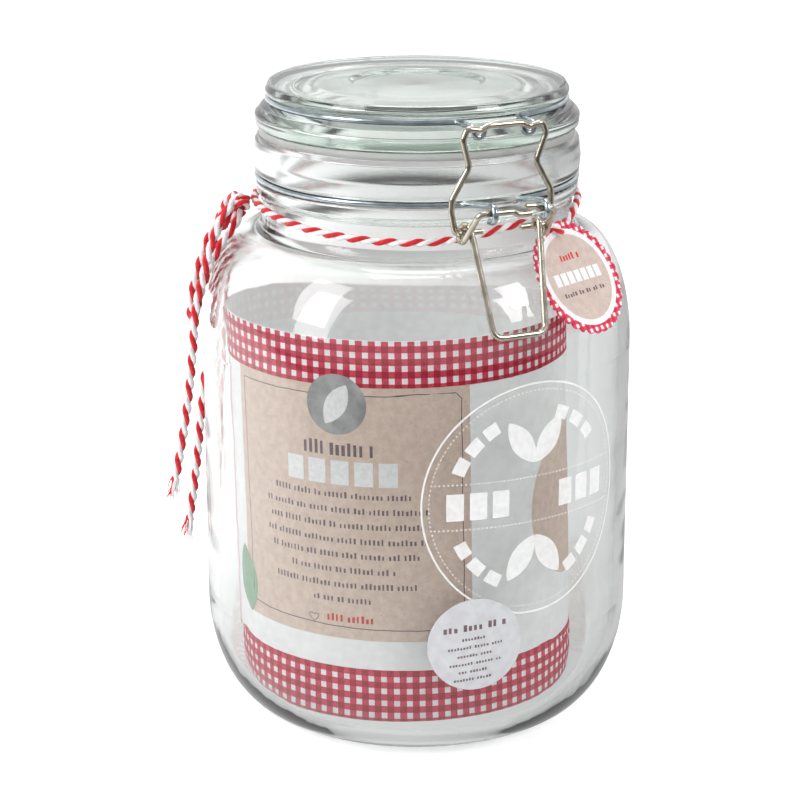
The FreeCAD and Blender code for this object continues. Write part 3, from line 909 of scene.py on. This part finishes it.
# %% Rows of dashes in place of words
def dash_words(width, tall, y, rng, dash=0.95, gap=0.35, slope=0.0):
    """A centred row of words, each a run of short dashes of uneven height."""
    shapes, x = [], -width / 2
    while x < width / 2 - dash:
        letters = rng.randint(2, 8)
        for _ in range(letters):
            if x + dash > width / 2:
                break
            rise = tall * rng.uniform(0.62, 1.0)
            shapes.append(strip(x, x + dash * rng.uniform(0.7, 1.0), y + x * slope, y + x * slope + rise))
            x += dash + gap
        x += dash * 1.1
    return shapes


rng = random.Random(11)
TEXT_MID = -45.5
TEXT_TOP, LINE_SPACING = 87.6, 5.04
on_text = on_roll(TEXT_MID, 0, 0.07)
text_rows = []
for k, width in enumerate((48, 56, 53, 56, 52, 36, 49, 20)):
    text_rows += dash_words(width, 2.1, TEXT_TOP - LINE_SPACING * k, rng, 0.75, 0.6)
printed("panel_text", text_rows, on_text, greige_ink)
printed("panel_heading", dash_words(24.5, 4.6, 101.6, rng, 1.2, 0.75), on_text, greige_ink)
title = [strip(x, x + 6.0, 91.9, 99.9) for x in (-18.6, -10.8, -3.0, 4.8, 12.6)]
printed("panel_title", title, on_text, white_ink)
printed("panel_signature", dash_words(16.5, 2.5, 45.6, rng, 0.9, 0.6), on_roll(TEXT_MID + 3.0, 0, 0.07),
        red_ink)
print("text rows", len(text_rows), "dashes")


# %% [markdown]
# The small motifs are drawn from simple curves: a leaf is two arcs that meet in a point, a heart is a
# well-known polar curve, and the kraft fruit is a slightly dented disc. A motif that crosses another
# print lies higher than it, so that nothing shows through.

# %% Motifs
def leaf_shape(x, y, length, width, tilt):
    """A pointed leaf as rows across its length."""
    points, faces = [], []
    count = 14
    for i in range(count + 1):
        t = i / count
        half = width / 2 * math.sin(math.pi * t) ** 0.8
        for side in (-1, 0, 1):
            px, py = side * half, (t - 0.5) * length
            points.append((x + px * math.cos(tilt) - py * math.sin(tilt),
                           y + px * math.sin(tilt) + py * math.cos(tilt)))
    for i in range(count):
        for j in range(2):
            a = 3 * i + j
            faces.append((a, a + 1, a + 4, a + 3))
    return points, faces


PICTURE_AT = (-0.8, 118.4)
printed("picture_disc", [blob(*PICTURE_AT, lambda a: 9.9)], on_roll(TEXT_MID, 0, 0.08), grey_ink)
printed("picture_leaf", [leaf_shape(*PICTURE_AT, 15.0, 7.0, -0.5)], on_roll(TEXT_MID, 0, 0.14), white_ink)
printed("green_leaf", [leaf_shape(0, 50.6, 23.0, 13.0, 0.2)], on_roll(-89.0, 0, 0.14), leaf_ink)
heart = [(1.7 * math.sin(t) ** 3, 46.0 + 1.35 * math.cos(t) - 0.5 * math.cos(2 * t) - 0.2 * math.cos(3 * t))
         for t in [2 * math.pi * i / 32 for i in range(33)]]
printed("small_heart", [ribbon(heart, 0.22)], on_roll(TEXT_MID - 10.3, 0, 0.07), soft_black)
printed("kraft_fruit", [blob(0, 80, lambda a: 26.5 - 3.6 * math.sin(a) - 2.5 * math.cos(a), 10)],
        on_roll(52.0, 0, 0.05), kraft)
printed("pink_strip", [strip(-7.0, 7.0, 30, 122)], on_roll(-108.0, 0, 0.05), pink_ink)
print("motifs printed")

# %% [markdown]
# ## Print on the glass
# A round badge in white enamel is printed on the outside of the jar. It is thin, slightly uneven and not
# quite opaque. It has a thin ring, a dotted ring and a band between two dotted lines; blocks and short
# bars stand for its words, and four plain leaves lie above and below the band.

# %% Badge
enamel, tree = new_material("white_enamel")
_, colour = blotches(tree, 500, "eeeeee", "fafafa")
finish_material(tree, {"Base Color": colour, "Roughness": 0.35, "Alpha": 0.78})

BADGE_AT = (5.6, 89.5)
RING_R, DOT_RING_R, BARS_R = 37.8, 35.5, 28.5
RING_DOTS = 150
BAND_Y, BAND_DOT_STEP = 7.4, 1.4
badge = [ribbon(ring_path(0, 0, RING_R), 0.6)]
for k in range(RING_DOTS):
    a = 2 * math.pi * k / RING_DOTS
    badge.append(blob(DOT_RING_R * math.cos(a), DOT_RING_R * math.sin(a), lambda t: 0.28, 1, 8))
for y in (-BAND_Y, BAND_Y):
    for k in range(-24, 25):
        badge.append(blob(k * BAND_DOT_STEP, y, lambda t: 0.3, 1, 8))
for x in (-30, -22.5, -15, 9.5, 17, 24.5):
    badge.append(strip(x, x + 5.6, -4.4, 4.4))
for start, end in ((118, 128), (132, 143), (147, 158), (35, 45), (49, 60), (64, 74),
                   (205, 215), (219, 230), (234, 244), (296, 306), (310, 321), (325, 335)):
    badge.append(ribbon(ring_path(0, 0, BARS_R, start, end, 8), 4.2))
for x, y, tilt in ((-5.0, 19.0, 0.6), (5.0, 19.0, -0.6), (-5.0, -19.0, 2.54), (5.0, -19.0, -2.54)):
    badge.append(leaf_shape(x, y, 17.0, 7.5, tilt))
printed("glass_badge", badge, on_glass(*BADGE_AT, 0.04), enamel, "jar_glass")
print("badge parts", len(badge))

# %% [markdown]
# ## Label and tag
# The round label is smooth paper, coloured slightly grey as painted shade for the shade that it stands in,
# with rows of dashes in place of its words. The hang tag is card: a kraft middle, a white ring, and a
# gingham border cut in scallops. The border's gingham is a material, because it runs over the card's edge
# and round its back.

# %% Label
# Painted shade: the white label's paper is coloured light grey for the shade it stands in.
label_paper_painted_shade = paper("label_paper_painted_shade", "c4c4c8", "cecfd2", 300, 0.5)
dress("sticker", label_paper_painted_shade)
LABEL_AT = (-10.8, 43.3)
rng = random.Random(4)
label_rows = dash_words(21, 2.4, 5.2, rng, 1.2, 0.5, 0.09)
for k, width in enumerate((9, 18, 12, 17, 11, 14)):
    label_rows += dash_words(width, 1.0, 1.9 - 2.75 * k, rng, 0.7, 0.28, 0.09)
printed("label_text", label_rows, on_glass(*LABEL_AT, 0.30), greige_ink, "sticker_paper")
print("label dashes", len(label_rows))

# %% Tag
TAG_AZIMUTH, TAG_R_AT, TAG_Z_AT = 25.4, 0.0644, 0.1560
TAG_FACE_AZIMUTH, TAG_RISE, TAG_T = 23.0, 31.6, 0.5
rise = math.radians(TAG_RISE)
tag_centre = at(TAG_AZIMUTH, TAG_R_AT, TAG_Z_AT)
tag_out = at(TAG_FACE_AZIMUTH, math.cos(rise), math.sin(rise))
tag_across = Vector((0, 0, 1)).cross(tag_out).normalized()
tag_up = tag_out.cross(tag_across)


def on_tag(lift):
    """Places flat millimetres on the tag's face."""
    def place(x, y):
        return tag_centre + tag_across * (x * MM) + tag_up * (y * MM) + tag_out * ((TAG_T + lift) * MM)
    return place


TAG_GINGHAM_PITCH = 0.0027
TAG_WHITE_SHARE = 0.45
tag_card, tree = new_material("gingham_card")
place = add_node(tree, "ShaderNodeTexCoord")
to_tag = Matrix((tag_across, tag_up, tag_out)).to_euler()
flat = add_node(tree, "ShaderNodeMapping", {},
                {"Vector": place.outputs["Object"], "Rotation": to_tag, "Scale": (1 / TAG_GINGHAM_PITCH,) * 3})
cells = add_node(tree, "ShaderNodeVectorMath", {"operation": "FRACTION"}, {"Vector": flat.outputs["Vector"]})
split = add_node(tree, "ShaderNodeSeparateXYZ", {}, {"Vector": cells.outputs["Vector"]})
red_x, red_y = (add_node(tree, "ShaderNodeMath", {"operation": "GREATER_THAN"},
                         {0: split.outputs[axis], 1: TAG_WHITE_SHARE}) for axis in "XY")
both = add_node(tree, "ShaderNodeMath", {"operation": "ADD"}, {0: red_x.outputs[0], 1: red_y.outputs[0]})
tone = add_node(tree, "ShaderNodeMath", {"operation": "MULTIPLY"}, {0: both.outputs[0], 1: 0.5})
ramp = add_node(tree, "ShaderNodeValToRGB", {}, {"Fac": tone.outputs[0]})
ramp.color_ramp.interpolation = "CONSTANT"
ramp.color_ramp.elements[0].color = ink("eeeaea")
ramp.color_ramp.elements[1].position, ramp.color_ramp.elements[1].color = 0.3, ink("d84a64")
ramp.color_ramp.elements.new(0.8).color = ink("c92c48")
finish_material(tree, {"Base Color": ramp.outputs["Color"], "Roughness": 0.7, "Specular IOR Level": 0.3})
dress("hang_tag", tag_card)

printed("tag_ring", [blob(0, 0, lambda a: 16.3, 6)], on_tag(0.04), white_ink, "tag_card")
tag_kraft = paper("tag_kraft", "c8b5ac", "d3c1b9", 400, fleck="b6a194")
printed("tag_middle", [blob(0, 0, lambda a: 14.4, 6)], on_tag(0.07), tag_kraft, "tag_card")
rng = random.Random(9)
printed("tag_line_red", dash_words(10, 2.3, 6.0, rng, 1.0, 0.4), on_tag(0.10), red_ink, "tag_card")
tag_title = [strip(x, x + 2.6, -1.6, 2.4) for x in (-11.5, -8.2, -4.9, -1.6, 1.7, 5.0, 8.3)]
printed("tag_title", tag_title, on_tag(0.10), white_ink, "tag_card")
printed("tag_line_dark", dash_words(20, 1.5, -5.6, rng, 0.9, 0.35), on_tag(0.10), greige_ink, "tag_card")
print("tag centre", [round(c, 4) for c in tag_centre])

# %% [markdown]
# ## Studio
# The jar stands on a white sweep in soft light. Glass shows whatever is round it, so the room matters
# more than the lamps: white behind and beside, with a darker room behind the camera that draws the
# grey edges, and two tall softboxes whose reflections lie on the shoulder. The floor looks white to the
# camera and keeps the shadow. In a reflection it is a painted reflection: an emission with painted light
# towards the window side and painted shade towards the room and right under the jar. Seen through the
# glass it is a light grey copy of the floor, which is painted shade.

# %% Floor
WINDOW_AZIMUTH, ROOM_AZIMUTH = -116, -26
FLOOR_HALF, FLOOR_Z = 4, -0.0001
floor_material, tree = new_material("white_floor")
rays = add_node(tree, "ShaderNodeLightPath")
diffuse = add_node(tree, "ShaderNodeBsdfDiffuse", {}, {"Color": ink("f2f2f2")})
lift_to_white = add_node(tree, "ShaderNodeEmission", {}, {"Color": ink("ffffff"), "Strength": 0.45})
seen_white = add_node(tree, "ShaderNodeAddShader", {}, {0: diffuse.outputs[0], 1: lift_to_white.outputs[0]})
first = add_node(tree, "ShaderNodeMath", {"operation": "LESS_THAN"}, {0: rays.outputs["Diffuse Depth"], 1: 0.5})
through = add_node(tree, "ShaderNodeMath", {"operation": "MULTIPLY"},
                   {0: rays.outputs["Is Transmission Ray"], 1: first.outputs[0]})
# Painted shade: seen through the glass, the floor is a darker grey copy of itself.
painted_through_glass_shade = add_node(tree, "ShaderNodeBsdfDiffuse", {}, {"Color": ink("e6e6e7")})
plain_floor = add_node(tree, "ShaderNodeMixShader", {},
                       {0: through.outputs[0], 1: diffuse.outputs[0], 2: painted_through_glass_shade.outputs[0]})
place = add_node(tree, "ShaderNodeTexCoord")
leftward = add_node(tree, "ShaderNodeVectorMath", {"operation": "DOT_PRODUCT"},
                    {0: place.outputs["Object"], 1: at(WINDOW_AZIMUTH, 1, 0)})
forward = add_node(tree, "ShaderNodeVectorMath", {"operation": "DOT_PRODUCT"},
                   {0: place.outputs["Object"], 1: at(ROOM_AZIMUTH, 1, 0)})
away = add_node(tree, "ShaderNodeVectorMath", {"operation": "LENGTH"}, {0: place.outputs["Object"]})
# Painted light and shade for the floor's reflection: brighter towards the window side, darker towards the room and
# right under the jar.
window, room_side, painted_shade_under_jar = (
    add_node(tree, "ShaderNodeMapRange", {},
             {"Value": value, "From Min": near, "From Max": far, "To Min": near_level, "To Max": far_level})
    for value, near, far, near_level, far_level in (
        (leftward.outputs["Value"], -0.2, 0.3, 0.55, 1.5),
        (forward.outputs["Value"], 0.12, 0.4, 1.0, 0.15),
        (away.outputs["Value"], 0.07, 0.2, 0.75, 1.0),
    ))
level = add_node(tree, "ShaderNodeMath", {"operation": "MULTIPLY"},
                 {0: window.outputs["Result"], 1: room_side.outputs["Result"]})
level = add_node(tree, "ShaderNodeMath", {"operation": "MULTIPLY"},
                 {0: level.outputs[0], 1: painted_shade_under_jar.outputs["Result"]})
# Painted reflection: for glossy rays the floor glows at this level instead of reflecting real light.
painted_reflection = add_node(tree, "ShaderNodeEmission", {}, {"Color": ink("ffffff"), "Strength": level.outputs[0]})
unseen = add_node(tree, "ShaderNodeMixShader", {},
                  {0: rays.outputs["Is Glossy Ray"], 1: plain_floor.outputs[0], 2: painted_reflection.outputs[0]})
surface = add_node(tree, "ShaderNodeMixShader", {},
                   {0: rays.outputs["Is Camera Ray"], 1: unseen.outputs[0], 2: seen_white.outputs[0]})
add_node(tree, "ShaderNodeOutputMaterial", {}, {"Surface": surface.outputs[0]})
floor_verts = [(x, y, FLOOR_Z) for x in (-FLOOR_HALF, FLOOR_HALF) for y in (-FLOOR_HALF, FLOOR_HALF)]
floor_mesh = bpy.data.meshes.new("floor")
floor_mesh.from_pydata(floor_verts, [], [(0, 2, 3, 1)])
floor_mesh.materials.append(floor_material)
floor = bpy.data.objects.new("floor", floor_mesh)
bpy.context.scene.collection.objects.link(floor)
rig.stage(floor)
print("floor size", floor.dimensions[:2])

# %% [markdown]
# The room lights the jar evenly. Mirrored in glass or wire it is grey on the camera's side and white
# beyond the jar. Straight to the camera, or through the glass, it is plain white, and the paper behind
# the glass gets half as much again, for the light that the glass would gather on it.

# %% World
ROOM_LIGHT = 0.62
world = bpy.data.worlds.new("studio")
bpy.context.scene.world = world
world.use_nodes = True
tree = world.node_tree
tree.nodes.clear()
direction = add_node(tree, "ShaderNodeTexCoord")
toward = (LOOK_AT - CAMERA_AT).normalized()
behind = add_node(tree, "ShaderNodeVectorMath", {"operation": "DOT_PRODUCT"},
                  {0: direction.outputs["Generated"], 1: toward})
room = add_node(tree, "ShaderNodeValToRGB", {}, {"Fac": behind.outputs["Value"]})
room.color_ramp.elements[0].position, room.color_ramp.elements[0].color = 0.0, (0.42, 0.42, 0.43, 1)
room.color_ramp.elements[1].position, room.color_ramp.elements[1].color = 0.55, (1, 1, 1, 1)
light = add_node(tree, "ShaderNodeBackground", {}, {"Color": ink("ffffff"), "Strength": ROOM_LIGHT})
mirror = add_node(tree, "ShaderNodeBackground", {}, {"Color": room.outputs["Color"], "Strength": 1.0})
rays = add_node(tree, "ShaderNodeLightPath")
from_paper = add_node(tree, "ShaderNodeMath", {"operation": "GREATER_THAN"},
                      {0: rays.outputs["Diffuse Depth"], 1: 0.5})
level = add_node(tree, "ShaderNodeMath", {"operation": "MULTIPLY_ADD"},
                 {0: from_paper.outputs[0], 1: 0.5, 2: 1.0})
plain = add_node(tree, "ShaderNodeBackground", {}, {"Color": ink("ffffff"), "Strength": level.outputs[0]})
glossy = add_node(tree, "ShaderNodeMixShader", {},
                  {0: rays.outputs["Is Glossy Ray"], 1: light.outputs[0], 2: mirror.outputs[0]})
seen = add_node(tree, "ShaderNodeMath", {"operation": "MAXIMUM"},
                {0: rays.outputs["Is Camera Ray"], 1: rays.outputs["Is Transmission Ray"]})
sky = add_node(tree, "ShaderNodeMixShader", {}, {0: seen.outputs[0], 1: glossy.outputs[0], 2: plain.outputs[0]})
add_node(tree, "ShaderNodeOutputWorld", {}, {"Surface": sky.outputs[0]})
print("world strength for light", ROOM_LIGHT)

# %% Lamps
LAMP_AIM = Vector((0, 0, 0.1))


def softbox(name, place, width, height, watts):
    """A rectangular soft light that points at the middle of the jar."""
    data = bpy.data.lights.new(name, "AREA")
    data.shape = "RECTANGLE"
    data.size, data.size_y, data.energy = width, height, watts
    lamp = bpy.data.objects.new(name, data)
    bpy.context.scene.collection.objects.link(lamp)
    lamp.location = place
    lamp.rotation_mode = "QUATERNION"
    lamp.rotation_quaternion = (LAMP_AIM - Vector(place)).to_track_quat("-Z", "Y")


softbox("left_softbox", (-1.05, -0.08, 0.72), 0.45, 0.8, 9.0)
softbox("right_softbox", (0.62, -0.86, 0.80), 0.32, 0.5, 5.0)
softbox("top_softbox", (0.1, 0.2, 1.2), 0.6, 0.6, 5.0)
print("three softboxes")

# %% [markdown]
# ## Finish
# Light crosses the jar, the lid and the paper many times, so a path may be long before it ends. The box
# of what is seen is written beside the model's own box.

# %% Finish
scene = bpy.context.scene
scene.view_settings.view_transform = "Standard"
scene.cycles.max_bounces = scene.cycles.transmission_bounces = 24
visual_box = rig.bounds()
with open("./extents.json", "w") as f:
    json.dump({"cad": [list(c) for c in cad_box], "visual": [list(c) for c in visual_box]}, f)
print("cad", [[round(x, 4) for x in c] for c in cad_box])
print("visual", [[round(x, 4) for x in c] for c in visual_box])
